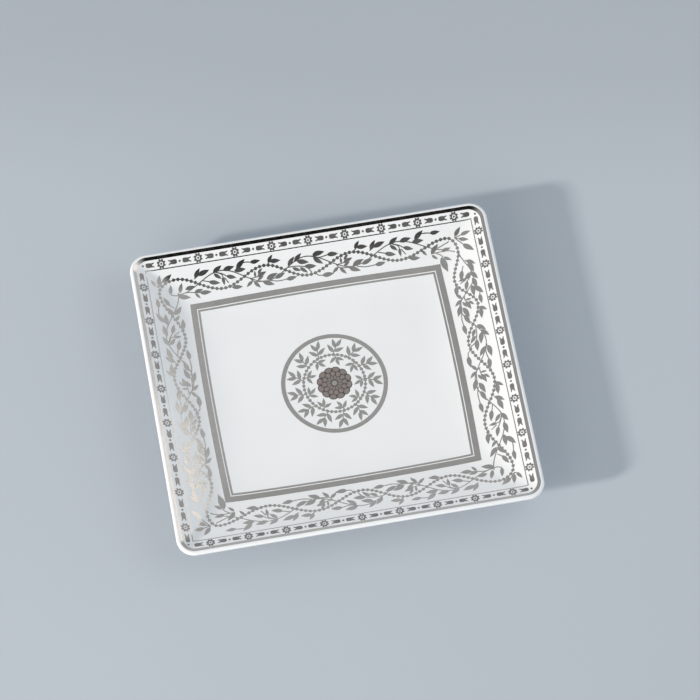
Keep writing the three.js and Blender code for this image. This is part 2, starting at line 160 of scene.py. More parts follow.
SECOND_LIP_SPRAY = {
    "leaves": [
        (-10.8, 0.42, 50, 6),
        (-6.8, 0.35, 47, 6),
        (-5.4, 0.33, -19, 6.9),
        (3.8, 0.25, 13, 7),
        (4.1, 0.31, -44, 6.4),
        (11.6, 0.3, 3, 6.4),
        (-1.5, 0.5, -12, 6.8),
        (-4, 0.51, -47, 5.2),
        (-8.4, 0.49, -32, 5),
        (7.3, 0.82, -4, 6.8),
    ],
    "stalks": [
        [(3, 0.26), (7, 0.33), (11.8, 0.3)],
        [(-11, 0.46), (-6, 0.465), (-1.2, 0.51)],
        [(0.5, 0.56), (2.2, 0.7)],
        [(4.2, 0.72), (5.4, 0.8), (7.5, 0.82)],
    ],
}
FRAME_SPRAY = {
    "leaves": [
        (-5.8, 0.58, 94, 3.4),
        (-4.8, 0.58, 26, 5.8),
        (-7.7, 0.67, -149, 4.7),
        (-7, 0.69, -56, 5),
        (-2.3, 0.72, -29, 6.9),
        (0, 0.69, 26, 7),
        (4.9, 0.7, 25, 6.5),
        (11.3, 0.77, 0, 6.2),
        (2.3, 0.25, 54, 4.8),
        (3.3, 0.235, 3, 6.2),
        (-4.8, 0.67, 32, 4),
        (-4.2, 0.5, 48, 3.8),
    ],
    "stalks": [
        [(-8.4, 0.6), (-4.6, 0.575)],
        [(-8.8, 0.57), (-7, 0.69), (-2, 0.725)],
        [(2, 0.73), (6.5, 0.78), (11.5, 0.77)],
        [(1.6, 0.31), (3.5, 0.235)],
    ],
}
LONG_START_SPRAY = {
    "leaves": [
        (-4, 0.705, 87, 5.5),
        (1, 0.69, 75, 5.7),
        (4.2, 0.61, 15, 5.7),
        (-0.3, 0.77, -18, 7.2),
        (8.7, 0.73, 17, 5.2),
        (9.2, 0.75, -58, 4),
        (11.6, 0.755, -9, 6.5),
    ],
    "stalks": [
        [(-4, 0.71), (-1.3, 0.755), (0, 0.73)],
        [(-1.3, 0.755), (5, 0.7), (8.6, 0.73), (11.8, 0.755)],
    ],
}
LONG_END_SPRAY = {
    "leaves": [
        (-12.8, 0.58, -60, 4),
        (-8.5, 0.72, 50, 6.6),
        (-8.3, 0.755, -50, 4.2),
        (-3.3, 0.71, 18, 5.5),
        (-3.8, 0.86, -83, 9.4),
        (-2.8, 0.87, -38, 4.8),
    ],
    "stalks": [
        [(-8.6, 0.72), (-3.2, 0.71), (0, 0.72), (3.6, 0.79)],
        [(-6, 0.73), (-4.2, 0.79), (-2.9, 0.87)],
        [(-5, 0.6), (1.4, 0.47)],
    ],
}
SHORT_END_SPRAY = {
    "leaves": [
        (-15, 0.55, -49, 4.6),
        (-11.6, 0.58, -48, 6.6),
        (-11.4, 0.57, 45, 6),
        (-6.6, 0.5, 35, 6.1),
    ],
    "stalks": [[(-8, 0.6), (-6.4, 0.5)]],
}
BARE_TURN = {"leaves": [], "stalks": []}
LONG_SPRAYS = [
    LONG_START_SPRAY, LIP_SPRAY, FRAME_SPRAY, SECOND_LIP_SPRAY, FRAME_SPRAY, LIP_SPRAY, LONG_END_SPRAY
]
SHORT_SPRAYS = [
    BARE_TURN, LIP_SPRAY, FRAME_SPRAY, SECOND_LIP_SPRAY, FRAME_SPRAY, LIP_SPRAY, SHORT_END_SPRAY
]
# Fans of leaves in the outer corners. A leaf is its place before the side's end and inside its lip, its
# angle from the way to the corner and its length. Each has a stalk from the fan's root.
LONG_END_FAN = {
    "root": (19.4, 17),
    "leaves": [(19.2, 16.3, 55, 6.1), (16, 16.2, 15, 5.9), (17.4, 17.8, -26, 5.7), (15.6, 21.4, -52, 7.6)],
}
SHORT_END_FAN = {
    "root": (18.2, 14.6),
    "leaves": [(18, 13.4, 38, 4.8), (17.4, 14.4, -18, 5.8), (15.6, 16.6, -64, 6.8)],
}

# Medallion in the middle of the well
RING_RADIUS = 28.05
RING_WIDTH = 2.3
WREATH_RADIUS = 16.9
WREATH_BEADS = 46
# Leaves of one spray: angle from its stem, distance from its foot, length.
OUTER_SPRAYS = 13
OUTER_SPRAY = [
    (62, 1.6, 5.8),
    (-54, 2.2, 5.7),
    (42, 4.4, 5.6),
    (-20, 5, 5.6),
]
OUTER_SPRAY_LEAN = -22  # of the spray's stem from straight outwards
INNER_SPRAYS = 9
INNER_SPRAY = [
    (-64, 1.6, 4.8),
    (58, 2, 4.7),
    (0, 2.5, 4.5),
]
INNER_SPRAY_LEAN = 20  # of the spray's stem from straight inwards
FLOWER_RADIUS = 9.75
FLOWER_PETALS = 12
FLOWER_TURN = 0.5  # of the outer row, in petals
FLOWER_NOTCH = 0.9  # radius at the notches of its scalloped edge, share of the full one
FLOWER_ROUNDNESS = 0.6  # of the scallops, below 1 they are blunter than a cosine
# Inner and outer end of a row's petals, and its turn in petals
FLOWER_ROWS = [(6.7, 9.4, FLOWER_TURN), (4.1, 6.9, FLOWER_TURN + 0.5), (1.9, 4.3, FLOWER_TURN)]
FLOWER_PETAL_FILL = 0.8  # of the room that a petal has
FLOWER_EYE = 1.5

# Heights of the platinum films above the porcelain, so that leaves lie on lines and beads on leaves
FILM_FOOT = 0.02
LINE_TOP = 0.05
LEAF_TOP = 0.06
BEAD_TOP = 0.07
PETAL_TOP = 0.09

# Facets
CORNER_STEPS = 26
SIDE_STEPS = 64
LIP_STEPS = 16
OUTER_STEPS = 30
ROUND_STEPS = 6
LINE_STEPS = 40
WAVE_STEPS = 18
LEAF_STEPS = 9
DART_STEPS = 12
STALK_STEPS = 6
DISC_STEPS = 14
EYE_STEPS = 28
ROSETTE_STEPS = 32
SCALLOP_STEPS = 12
CIRCLE_STEPS = 144
SMOOTH_ANGLE = math.radians(38)

# Passes of a search for a place on the curved sides
SOLVE_PASSES = 40

# Surfaces: two colours between which each one is mottled, roughness, and the scales of its noises, which
# are features per metre
GLAZE_COLOURS = ((0.868, 0.89, 0.893), (0.89, 0.912, 0.915))
GLAZE_ROUGHNESS = (0.05, 0.09)
GLAZE_REFRACTION = 1.5
GLAZE_CLOUDS = 28
GLAZE_SMEARS = 160
GLAZE_WAVES = 45
GLAZE_WAVE_HEIGHT = 0.12
GLAZE_WAVE_STRENGTH = 0.25
BISCUIT_COLOURS = ((0.7, 0.69, 0.66), (0.8, 0.79, 0.765))
BISCUIT_ROUGHNESS = (0.6, 0.8)
BISCUIT_SPECKS = 900
BISCUIT_WEAR = 1400
BISCUIT_GRAIN = 2600
BISCUIT_GRAIN_HEIGHT = 0.05
BISCUIT_GRAIN_STRENGTH = 0.4
PLATINUM_COLOURS = ((0.53, 0.5, 0.465), (0.57, 0.538, 0.5))
PLATINUM_ROUGHNESS = (0.12, 0.22)
FRIEZE_COLOURS = ((0.265, 0.25, 0.24), (0.315, 0.298, 0.285))
FRIEZE_ROUGHNESS = (0.37, 0.47)
PETAL_COLOURS = ((0.41, 0.345, 0.312), (0.46, 0.387, 0.35))
PETAL_ROUGHNESS = (0.25, 0.35)
GROUND_COLOURS = ((0.16, 0.134, 0.124), (0.2, 0.167, 0.156))
GROUND_ROUGHNESS = (0.25, 0.35)
METAL_CLOUDS = 240
METAL_SMEARS = 420
METAL_GRAIN = 1500
METAL_GRAIN_HEIGHT = 0.02
METAL_GRAIN_STRENGTH = 0.15
FLOOR_COLOURS = ((0.495, 0.548, 0.6), (0.507, 0.56, 0.611))
FLOOR_ROUGHNESS = 0.9
FLOOR_GLOSS = 0.2
FLOOR_CLOUDS = 3
NOISE_RANGE = (0.3, 0.7)  # within which most values of a noise lie

# Camera: where it stands as seen from the middle of the well
CAMERA_AZIMUTH = -11.622
CAMERA_ELEVATION = 66.911
CAMERA_ROLL = -1.402
CAMERA_DISTANCE = 1912.4
CAMERA_ASIDE = (8.455, 18.088)  # from the middle of the well, rightwards and upwards in the picture
CAMERA_LENS = 180
CAMERA_SENSOR = 36

# Light: directions are an azimuth, from rightwards towards away from the camera, and an elevation. Places
# are rightwards, away and up. Powers are in watts.
KEY_DIRECTION = (205.5, 20.7)
KEY_DISTANCE = 4000
KEY_SIZE = 280
KEY_POWER = 125
KEY_COLOUR = (1, 0.91, 0.86)
FILL_PLACE = (-600, -750, 650)
FILL_SIZE = 600
FILL_POWER = 2.2
FILL_COLOUR = (1, 0.96, 0.9)
PANEL_PLACE = (335, 150, 385)
PANEL_SIZE = 300
PANEL_POWER = 0.2
PANEL_COLOUR = (1, 0.93, 0.86)
SKY_COLOUR = (0.485, 0.512, 0.538)
DARK_DIRECTION = (270, 52)
DARK_CORE = 16  # the sky is black within this angle
DARK_EDGE = 44  # and at its full level outside this one
# Soft lights in the sky: direction, angle at which each has faded out and colour
SOFT_LIGHTS = [
    ((0, 12), 50, (1, 1.05, 1.15)),
    ((25, 54), 44, (0.19, 0.197, 0.203)),
    ((90, 5), 40, (0.25, 0.29, 0.33)),
    ((268, 5), 45, (1.5, 1.55, 1.6)),
]
FLOOR_SIZE = 4000
FLOOR_PAINTED_SHADE = (100, 220)  # away from the camera, where painted shade starts to darken the paper and where it stops
# Painted shade on the floor: its colour darkens away from the camera, where less light falls, down to the
# level below
FLOOR_PAINTED_SHADE_LEVEL = 0.9


# Shape of the inner face

def face_height(setback):
    """Height of the inner face a given distance inside the lip."""
    climb = np.maximum(0, 1 - setback / SIDE_WIDTH)
    return WELL_LEVEL + SIDE_RISE * climb**SIDE_POWER


def face_slope(setback):
    """Angle of the inner face there, in radians."""
    climb = max(0, 1 - setback / SIDE_WIDTH)
    return math.atan(SIDE_RISE * SIDE_POWER * climb ** (SIDE_POWER - 1) / SIDE_WIDTH)


def solve_lip():
    """Where the inner face runs into the round lip: setback, slope and the lip's centre."""
    slope = face_slope(0)
    for _ in range(SOLVE_PASSES):
        start = WALL / 2 * (1 + math.sin(slope))
        slope = face_slope(start)
    centre_height = float(face_height(start)) - WALL / 2 * math.cos(slope)
    return start, slope, (start - WALL / 2 * math.sin(slope), centre_height)


LIP_START, LIP_SLOPE, LIP_CENTRE = solve_lip()


def surface_height(setback):
    """Height of the inner face and of the lip that it runs into."""
    rise = np.sqrt(np.maximum(0, (WALL / 2) ** 2 - (setback - LIP_CENTRE[0]) ** 2))
    return np.where(setback < LIP_START, LIP_CENTRE[1] + rise, face_height(setback))


def corner_radius(setback):
    """It shrinks under the lip, as a parallel line's does, and opens out again towards the well."""
    bend = np.minimum(setback, CORNER_TURN * (1 + CORNER_GROWTH))
    return LIP_CORNER_RADIUS - bend + bend**2 / (2 * CORNER_TURN) + CORNER_GROWTH * (setback - bend)


def outline_at(setback):
    """Plan outline a given distance inside the lip: a rectangle with rounded corners."""
    radius = float(corner_radius(setback))
    centre_x = HALF_LENGTH - setback - radius
    centre_y = HALF_WIDTH - setback - radius
    points = []
    for corner, (sign_x, sign_y) in enumerate([(1, 1), (-1, 1), (-1, -1), (1, -1)]):
        for step in range(CORNER_STEPS + 1):
            angle = (corner + step / CORNER_STEPS) * math.pi / 2
            x = sign_x * centre_x + radius * math.cos(angle)
            y = sign_y * centre_y + radius * math.sin(angle)
            points.append((x, y))
    return points


def setback_at(x, y):
    """Plan distance from the lip of points on the inner face, the inverse of outline_at."""
    near = np.zeros_like(x)
    far = np.full_like(x, min(HALF_LENGTH, HALF_WIDTH))
    for _ in range(SOLVE_PASSES):
        middle = (near + far) / 2
        radius = corner_radius(middle)
        beyond_x = np.abs(x) - HALF_LENGTH + middle + radius
        beyond_y = np.abs(y) - HALF_WIDTH + middle + radius
        in_corner = (beyond_x > 0) & (beyond_y > 0)
        reach = np.where(in_corner, np.hypot(beyond_x, beyond_y), np.maximum(beyond_x, beyond_y))
        outside = reach > radius
        far = np.where(outside, middle, far)
        near = np.where(outside, near, middle)
    return near


# Materials

def new_material(name):
    """A material with its nodes, its links and its main shader."""
    material = bpy.data.materials.new(name)
    material.use_nodes = True
    nodes = material.node_tree.nodes
    return material, nodes, material.node_tree.links, nodes["Principled BSDF"]


def noise(nodes, links, scale, detail=3):
    """Noise over the object's own coordinates, with features about 1/scale metres across."""
    place = nodes.new("ShaderNodeTexCoord")
    texture = nodes.new("ShaderNodeTexNoise")
    texture.inputs["Scale"].default_value = scale
    texture.inputs["Detail"].default_value = detail
    links.new(place.outputs["Object"], texture.inputs["Vector"])
    return texture.outputs["Fac"]


def ramp(nodes, links, value, colours):
    """Colour between two colours, over the middle range of a noise."""
    made = nodes.new("ShaderNodeValToRGB")
    for element, position, colour in zip(made.color_ramp.elements, NOISE_RANGE, colours):
        element.position = position
        element.color = (*colour, 1)
    links.new(value, made.inputs["Fac"])
    return made.outputs["Color"]


def between(nodes, links, value, limits):
    """Number between two limits, over the middle range of a noise."""
    made = nodes.new("ShaderNodeMapRange")
    made.inputs["From Min"].default_value = NOISE_RANGE[0]
    made.inputs["From Max"].default_value = NOISE_RANGE[1]
    made.inputs["To Min"].default_value = limits[0]
    made.inputs["To Max"].default_value = limits[1]
    links.new(value, made.inputs["Value"])
    return made.outputs["Result"]


def bump(nodes, links, value, shader, height, strength):
    """Unevenness of a surface, too low for the mesh."""
    made = nodes.new("ShaderNodeBump")
    made.inputs["Distance"].default_value = height * MM
    made.inputs["Strength"].default_value = strength
    links.new(value, made.inputs["Height"])
    links.new(made.outputs["Normal"], shader.inputs["Normal"])


def glazed_porcelain():
    """White porcelain under a clear glaze, which is a little uneven."""
    material, nodes, links, shader = new_material("glazed_porcelain")
    tone = ramp(nodes, links, noise(nodes, links, GLAZE_CLOUDS), GLAZE_COLOURS)
    links.new(tone, shader.inputs["Base Color"])
    rough = between(nodes, links, noise(nodes, links, GLAZE_SMEARS), GLAZE_ROUGHNESS)
    links.new(rough, shader.inputs["Roughness"])
    waves = noise(nodes, links, GLAZE_WAVES, detail=1)
    bump(nodes, links, waves, shader, GLAZE_WAVE_HEIGHT, GLAZE_WAVE_STRENGTH)
    shader.inputs["IOR"].default_value = GLAZE_REFRACTION
    return material


def bare_porcelain():
    """The unglazed bottom of the foot ring."""
    material, nodes, links, shader = new_material("bare_porcelain")
    tone = ramp(nodes, links, noise(nodes, links, BISCUIT_SPECKS, detail=6), BISCUIT_COLOURS)
    links.new(tone, shader.inputs["Base Color"])
    rough = between(nodes, links, noise(nodes, links, BISCUIT_WEAR), BISCUIT_ROUGHNESS)
    links.new(rough, shader.inputs["Roughness"])
    grain = noise(nodes, links, BISCUIT_GRAIN, detail=5)
    bump(nodes, links, grain, shader, BISCUIT_GRAIN_HEIGHT, BISCUIT_GRAIN_STRENGTH)
    return material


def fired_metal(name, colours, roughness):
    """A thin fired film of platinum, mottled by the brush or the transfer and by the glaze under it."""
    material, nodes, links, shader = new_material(name)
    shader.inputs["Metallic"].default_value = 1
    tone = ramp(nodes, links, noise(nodes, links, METAL_CLOUDS, detail=5), colours)
    links.new(tone, shader.inputs["Base Color"])
    rough = between(nodes, links, noise(nodes, links, METAL_SMEARS, detail=4), roughness)
    links.new(rough, shader.inputs["Roughness"])
    bump(nodes, links, noise(nodes, links, METAL_GRAIN), shader, METAL_GRAIN_HEIGHT, METAL_GRAIN_STRENGTH)
    return material


def floor_paper():
    """Plain paper, with painted shade that darkens its colour far behind the tray."""
    material, nodes, links, shader = new_material("floor_paper")
    tone = ramp(nodes, links, noise(nodes, links, FLOOR_CLOUDS), FLOOR_COLOURS)
    place = nodes.new("ShaderNodeTexCoord")
    parts = nodes.new("ShaderNodeSeparateXYZ")
    links.new(place.outputs["Object"], parts.inputs["Vector"])
    # Painted shade: the paper's colour is scaled down away from the camera
    level = nodes.new("ShaderNodeMapRange")
    level.interpolation_type = "SMOOTHSTEP"
    level.inputs["From Min"].default_value = FLOOR_PAINTED_SHADE[0] * MM
    level.inputs["From Max"].default_value = FLOOR_PAINTED_SHADE[1] * MM
    level.inputs["To Min"].default_value = 1
    level.inputs["To Max"].default_value = FLOOR_PAINTED_SHADE_LEVEL
    links.new(parts.outputs["Y"], level.inputs["Value"])
    shaded = nodes.new("ShaderNodeVectorMath")
    shaded.operation = "SCALE"
    links.new(tone, shaded.inputs[0])
    links.new(level.outputs["Result"], shaded.inputs["Scale"])
    links.new(shaded.outputs["Vector"], shader.inputs["Base Color"])
    shader.inputs["Roughness"].default_value = FLOOR_ROUGHNESS
    shader.inputs["Specular IOR Level"].default_value = FLOOR_GLOSS
    return material


GLAZE = glazed_porcelain()
BISCUIT = bare_porcelain()
PLATINUM = fired_metal("platinum", PLATINUM_COLOURS, PLATINUM_ROUGHNESS)
FRIEZE_METAL = fired_metal("frieze_platinum", FRIEZE_COLOURS, FRIEZE_ROUGHNESS)
PETAL_METAL = fired_metal("petal_platinum", PETAL_COLOURS, PETAL_ROUGHNESS)
GROUND_METAL = fired_metal("dark_platinum", GROUND_COLOURS, GROUND_ROUGHNESS)


# Meshes

def add_piece(name, points, faces, materials, node, face_materials=None):
    """A piece of the tray from points in millimetres, standing for a node of the model."""
    mesh = bpy.data.meshes.new(name)
    mesh.from_pydata([(x * MM, y * MM, z * MM) for x, y, z in points], [], faces)
    for material in materials:
        mesh.materials.append(material)
    if face_materials:
        mesh.polygons.foreach_set("material_index", face_materials)
    mesh.shade_smooth()
    mesh.set_sharp_from_angle(angle=SMOOTH_ANGLE)
    piece = bpy.data.objects.new(name, mesh)
    bpy.context.collection.objects.link(piece)
    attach(piece, "root")
    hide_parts(node)


def signed_area(points, face):
    """Twice a face's area in plan, negative where it runs clockwise."""
    corners = [points[i] for i in face]
    return sum(a[0] * b[1] - b[0] * a[1] for a, b in zip(corners, corners[1:] + corners[:1]))


class Turn:
    """A plan frame with its own origin, turned by an angle in radians."""

    def __init__(self, origin, angle):
        self.origin = origin
        self.cos = math.cos(angle)
        self.sin = math.sin(angle)

    def __call__(self, along, across):
        x = self.origin[0] + along * self.cos - across * self.sin
        y = self.origin[1] + along * self.sin + across * self.cos
        return (float(x), float(y))


def spline(t, before, start, end, after):
    """Value at share t of the way from start to end, on a curve that its neighbours steer."""
    slope_in = (end - before) / 2
    slope_out = (after - start) / 2
    cubic = 2 * (start - end) + slope_in + slope_out
    square = 3 * (end - start) - 2 * slope_in - slope_out
    return ((cubic * t + square) * t + slope_in) * t + start


def rounded_line(points):
    """Points of a smooth curve through the given ones. Its two ends are their own neighbours."""
    padded = [points[0], *points, points[-1]]
    line = []
    for before, start, end, after in zip(padded, padded[1:], padded[2:], padded[3:]):
        for step in range(STALK_STEPS):
            t = step / STALK_STEPS
            line.append(tuple(spline(t, *values) for values in zip(before, start, end, after)))
    line.append(points[-1])
    return line


class Film:
    """Shapes drawn in plan, gathered and laid on the inner face as one mesh of thin closed plates."""

    def __init__(self):
        self.points = []
        self.tops = []
        self.faces = []

    def strip(self, rows, top, closed=False):
        """Quads between rows of points. A closed strip runs round to its first row."""
        start = len(self.points)
        across = len(rows[0])
        for row in rows:
            self.points.extend(row)
            self.tops.extend([top] * across)
        spans = len(rows) if closed else len(rows) - 1
        for i in range(spans):
            here = start + i * across
            there = start + (i + 1) % len(rows) * across
            for k in range(across - 1):
                self.faces.append((here + k, there + k, there + k + 1, here + k + 1))

    def disc(self, centre, radius, top, steps=DISC_STEPS):
        """A round plate."""
        start = len(self.points)
        for step in range(steps):
            angle = 2 * math.pi * step / steps
            self.points.append((centre[0] + radius * math.cos(angle), centre[1] + radius * math.sin(angle)))
        self.tops.extend([top] * steps)
        self.faces.append(tuple(range(start, start + steps)))

    def ring(self, centre, inner, outer, top, steps):
        """A round plate with a round hole."""
        rows = []
        for step in range(steps):
            angle = 2 * math.pi * step / steps
            way = (math.cos(angle), math.sin(angle))
            rows.append([(centre[0] + r * way[0], centre[1] + r * way[1]) for r in (inner, outer)])
        self.strip(rows, top, closed=True)

    def ribbon(self, line, width, top):
        """A band of even width along a line."""
        rows = []
        for i, (x, y) in enumerate(line):
            before = line[max(0, i - 1)]
            after = line[min(len(line) - 1, i + 1)]
            way = Vector((after[0] - before[0], after[1] - before[1])).normalized() * width / 2
            rows.append([(x - way.y, y + way.x), (x + way.y, y - way.x)])
        self.strip(rows, top)

    def stalk(self, points):
        """A thin line through points, rounded between them."""
        self.ribbon(rounded_line(points), STEM_WIDTH, LINE_TOP)

    def leaf(self, foot, way, lean, length):
        """A pointed blade that leans from a way (radians) by an angle (degrees) and bends back to it."""
        turned = Turn(foot, way + math.radians(lean))
        bend = math.copysign(LEAF_BEND, -lean)
        rows = []
        for step in range(LEAF_STEPS + 1):
            share = step / LEAF_STEPS
            half = length * LEAF_WIDTH / 2 * math.sin(math.pi * share**LEAF_FULLNESS)
            half = max(POINT_WIDTH / 2, half)
            middle = bend * length * share**2
            rows.append([turned(length * share, middle - half), turned(length * share, middle + half)])
        self.strip(rows, LEAF_TOP)

    def beads(self, line, count=None):
        """Round beads at an even pitch along a line."""
        lengths = [math.dist(a, b) for a, b in zip(line, line[1:])]
        reached = np.concatenate(([0], np.cumsum(lengths)))
        count = count or round(reached[-1] / BEAD_PITCH)
        xs, ys = np.transpose(line)
        for place in (np.arange(count) + 0.5) / count * reached[-1]:
            centre = (np.interp(place, reached, xs), np.interp(place, reached, ys))
            self.disc(centre, BEAD_RADIUS, BEAD_TOP)

    def lay(self, name, material, node):
        """Lifts the shapes onto the inner face and closes them underneath."""
        faces = [face if signed_area(self.points, face) > 0 else face[::-1] for face in self.faces]
        x, y = np.transpose(self.points)
        level = surface_height(setback_at(x, y))
        upper = np.column_stack((x, y, level + np.array(self.tops)))
        lower = np.column_stack((x, y, level + FILM_FOOT))
        count = len(self.points)
        edges = {(a, b) for face in faces for a, b in zip(face, face[1:] + face[:1])}
        walls = [(b, a, a + count, b + count) for a, b in sorted(edges) if (b, a) not in edges]
        under = [tuple(i + count for i in face[::-1]) for face in faces]
        add_piece(name, np.vstack((upper, lower)), faces + under + walls, [material], node)


# Porcelain body

def arc_points(centre, radius, start, end, steps):
    """Points of an arc in the section, without its first one. Angles in degrees."""
    angles = np.radians(np.linspace(start, end, steps + 1)[1:])
    return [(centre[0] + radius * math.cos(a), centre[1] + radius * math.sin(a)) for a in angles]


def body_section():
    """Setback and height of points from the well's edge over the lip to the underside inside the foot.

    Also the index of the point where the bare bottom of the foot starts."""
    climb = np.linspace(SIDE_WIDTH, LIP_START, SIDE_STEPS + 1)
    section = [(setback, float(face_height(setback))) for setback in climb]
    start = 90 - math.degrees(LIP_SLOPE)
    section += arc_points(LIP_CENTRE, WALL / 2, start, start + 180, LIP_STEPS)
    # The outer face is the wall's thickness away from the inner one, as far as the fillet of the foot
    near = LIP_START
    far = FOOT_SETBACK + WALL
    fillet_start = FOOT_SETBACK - FOOT_FILLET
    for _ in range(SOLVE_PASSES):
        middle = (near + far) / 2
        if middle - WALL * math.sin(face_slope(middle)) < fillet_start:
            near = middle
        else:
            far = middle
    for setback in np.linspace(LIP_START, near, OUTER_STEPS + 1)[1:]:
        slope = face_slope(setback)
        height = float(face_height(setback)) - WALL * math.cos(slope)
        section.append((setback - WALL * math.sin(slope), height))
    fillet_top = section[-1][1]
    section += arc_points((fillet_start, fillet_top - FOOT_FILLET), FOOT_FILLET, 90, 0, ROUND_STEPS)
    # The foot, down its outer side, across its bare bottom and up its inner side
    inner_foot = FOOT_SETBACK + FOOT_WIDTH
    outer_round = (FOOT_SETBACK + FOOT_ROUND, FOOT_ROUND)
    inner_round = (inner_foot - FOOT_ROUND, FOOT_ROUND)
    section.append((FOOT_SETBACK, FOOT_ROUND))
    section += arc_points(outer_round, FOOT_ROUND, 180, 270, ROUND_STEPS)
    bare_start = len(section) - 1
    section.append((inner_foot - FOOT_ROUND, 0))
    section += arc_points(inner_round, FOOT_ROUND, 270, 360, ROUND_STEPS)
    section.append((inner_foot, FOOT_HEIGHT - FOOT_FILLET))
    fillet_centre = (inner_foot + FOOT_FILLET, FOOT_HEIGHT - FOOT_FILLET)
    section += arc_points(fillet_centre, FOOT_FILLET, 180, 90, ROUND_STEPS)
    return section, bare_start


def build_body():
    """The section taken round the outline, with flat faces for the well and the underside."""
    section, bare_start = body_section()
    materials = [GLAZE, BISCUIT]
    points = []
    faces = []
    face_materials = []
    for setback, height in section:
        points.extend((x, y, height) for x, y in outline_at(setback))
    around = 4 * (CORNER_STEPS + 1)
    for ring in range(len(section) - 1):
        for i in range(around):
            here = ring * around + i
            beside = ring * around + (i + 1) % around
            faces.append((here, here + around, beside + around, beside))
            face_materials.append(materials.index(BISCUIT if ring == bare_start else GLAZE))
    last = (len(section) - 1) * around
    well = tuple(range(around))
    underside = tuple(last + i for i in reversed(range(around)))
    for face in (well, underside):
        faces.append(face)
        face_materials.append(materials.index(GLAZE))
    add_piece("porcelain_body", points, faces, materials, "tray_body", face_materials)


# Lines and frieze

def side_place(side, along, setback):
    """Plan point on one side, seen with the lip upwards: 0 back, 1 right, 2 front, 3 left."""
    across = (HALF_WIDTH if side % 2 == 0 else HALF_LENGTH) - setback
    return Turn((0, 0), -side * math.pi / 2)(along, across)


def half_side(side):
    """Half the length of a side, along the lip."""
    return HALF_LENGTH if side % 2 == 0 else HALF_WIDTH


def rectangle_at(setback, bow=0):
    """Points of a rectangle inside the lip with sharp corners, crowded towards them.

    Its sides may bow out, by as much as the corners are drawn in."""
    points = []
    for side in range(4):
        reach = half_side(side) - setback
        for step in range(-LINE_STEPS, LINE_STEPS):
            along = math.sin(step / LINE_STEPS * math.pi / 2)
            points.append(side_place(side, along * (reach - bow), setback + bow * along**2))
    return points


def build_lines():
    """The line under the lip and the two lines of the frame."""
    rim = Film()
    inner = outline_at(RIM_BAND_SETBACK + RIM_BAND_WIDTH)
    rim.strip(list(zip(outline_at(RIM_BAND_SETBACK), inner)), LINE_TOP, closed=True)
    rim.lay("rim_line", PLATINUM, "rim_band")
    line_setback = FRAME_SETBACK + FRAME_BAND_WIDTH + FRAME_LINE_GAP
    frame_lines = [
        ("frame_wide_line", FRAME_SETBACK, FRAME_BAND_WIDTH, "frame_band"),
        ("frame_thin_line", line_setback, FRAME_LINE_WIDTH, "frame_line"),
    ]
    for name, setback, width, node in frame_lines:
        film = Film()
        outer = rectangle_at(setback, FRAME_BOW)
        inner = rectangle_at(setback + width, FRAME_BOW)
        film.strip(list(zip(outer, inner)), LINE_TOP, closed=True)
        film.lay(name, PLATINUM, node)


def build_guard_line():
    """The thin line under the frieze, open where its two ends meet."""
    film = Film()
    outer = rectangle_at(GUARD_SETBACK)
    inner = rectangle_at(GUARD_SETBACK + GUARD_WIDTH)
    rows = list(zip(outer, inner))
    seam = next(i for i, (x, y) in enumerate(outer) if x > GUARD_BREAK_X and y > 0)
    ends = []
    for x in (GUARD_BREAK_X + GUARD_BREAK / 2, GUARD_BREAK_X - GUARD_BREAK / 2):
        ends.append([(x, HALF_WIDTH - GUARD_SETBACK), (x, HALF_WIDTH - GUARD_SETBACK - GUARD_WIDTH)])
    kept = []
    for row in rows[seam:] + rows[:seam]:
        x, y = row[0]
        if abs(x - GUARD_BREAK_X) > GUARD_BREAK or y < 0:
            kept.append(row)
    film.strip([ends[0], *kept, ends[1]], LINE_TOP)
    film.lay("guard_line", PLATINUM, "frieze")


def draw_rosette(film, centre):
    """A ring with an eye and a round of small petals."""
    film.ring(centre, *ROSETTE_RING, LINE_TOP, ROSETTE_STEPS)
    film.disc(centre, ROSETTE_EYE, LINE_TOP)
    for i in range(ROSETTE_PETALS):
        turned = Turn(centre, 2 * math.pi * (i + 0.5) / ROSETTE_PETALS)
        film.disc(turned(ROSETTE_PETAL_PLACE, 0), ROSETTE_PETAL_RADIUS, LEAF_TOP)


def draw_dart(film, tail, head):
    """A dart with a blunt head and a forked tail, as a strip of five lines from its tail to its head."""
    turned = Turn(tail, math.atan2(head[1] - tail[1], head[0] - tail[0]))
    shares, halves = np.transpose(DART_PROFILE)
    fork = DART_NOTCH_HALF / halves[0]
    rows = []
    for height_share, start in ((-1, 0), (-fork, 0), (0, DART_NOTCH), (fork, 0), (1, 0)):
        line = np.linspace(start, 1, DART_STEPS + 1)
        heights = height_share * np.interp(line, shares, halves)
        rows.append([turned(along * DART_LENGTH, across) for along, across in zip(line, heights)])
    film.strip(rows, LINE_TOP)


def build_frieze():
    """A row of rosettes on each side. The short sides' rows are shifted along."""
    film = Film()
    for side in range(4):
        count, shift = (ROSETTES_LONG, 0) if side % 2 == 0 else (ROSETTES_SHORT, SHORT_ROW_SHIFT)
        run = 2 * (half_side(side) - FRIEZE_END)
        pitch = run / count
        for i in range(count):
            middle = (i + 0.5) * pitch - run / 2 + shift
            draw_rosette(film, side_place(side, middle, FRIEZE_SETBACK))
            film.disc(side_place(side, middle - pitch / 2, FRIEZE_SETBACK), DOT_RADIUS, LINE_TOP)
            for sign in (1, -1):
                start = middle + sign * DART_START
                tail = side_place(side, start, FRIEZE_SETBACK)
                draw_dart(film, tail, side_place(side, start + sign * DART_LENGTH, FRIEZE_SETBACK))
    film.lay("frieze_motifs", FRIEZE_METAL, "frieze")


# Leafy border

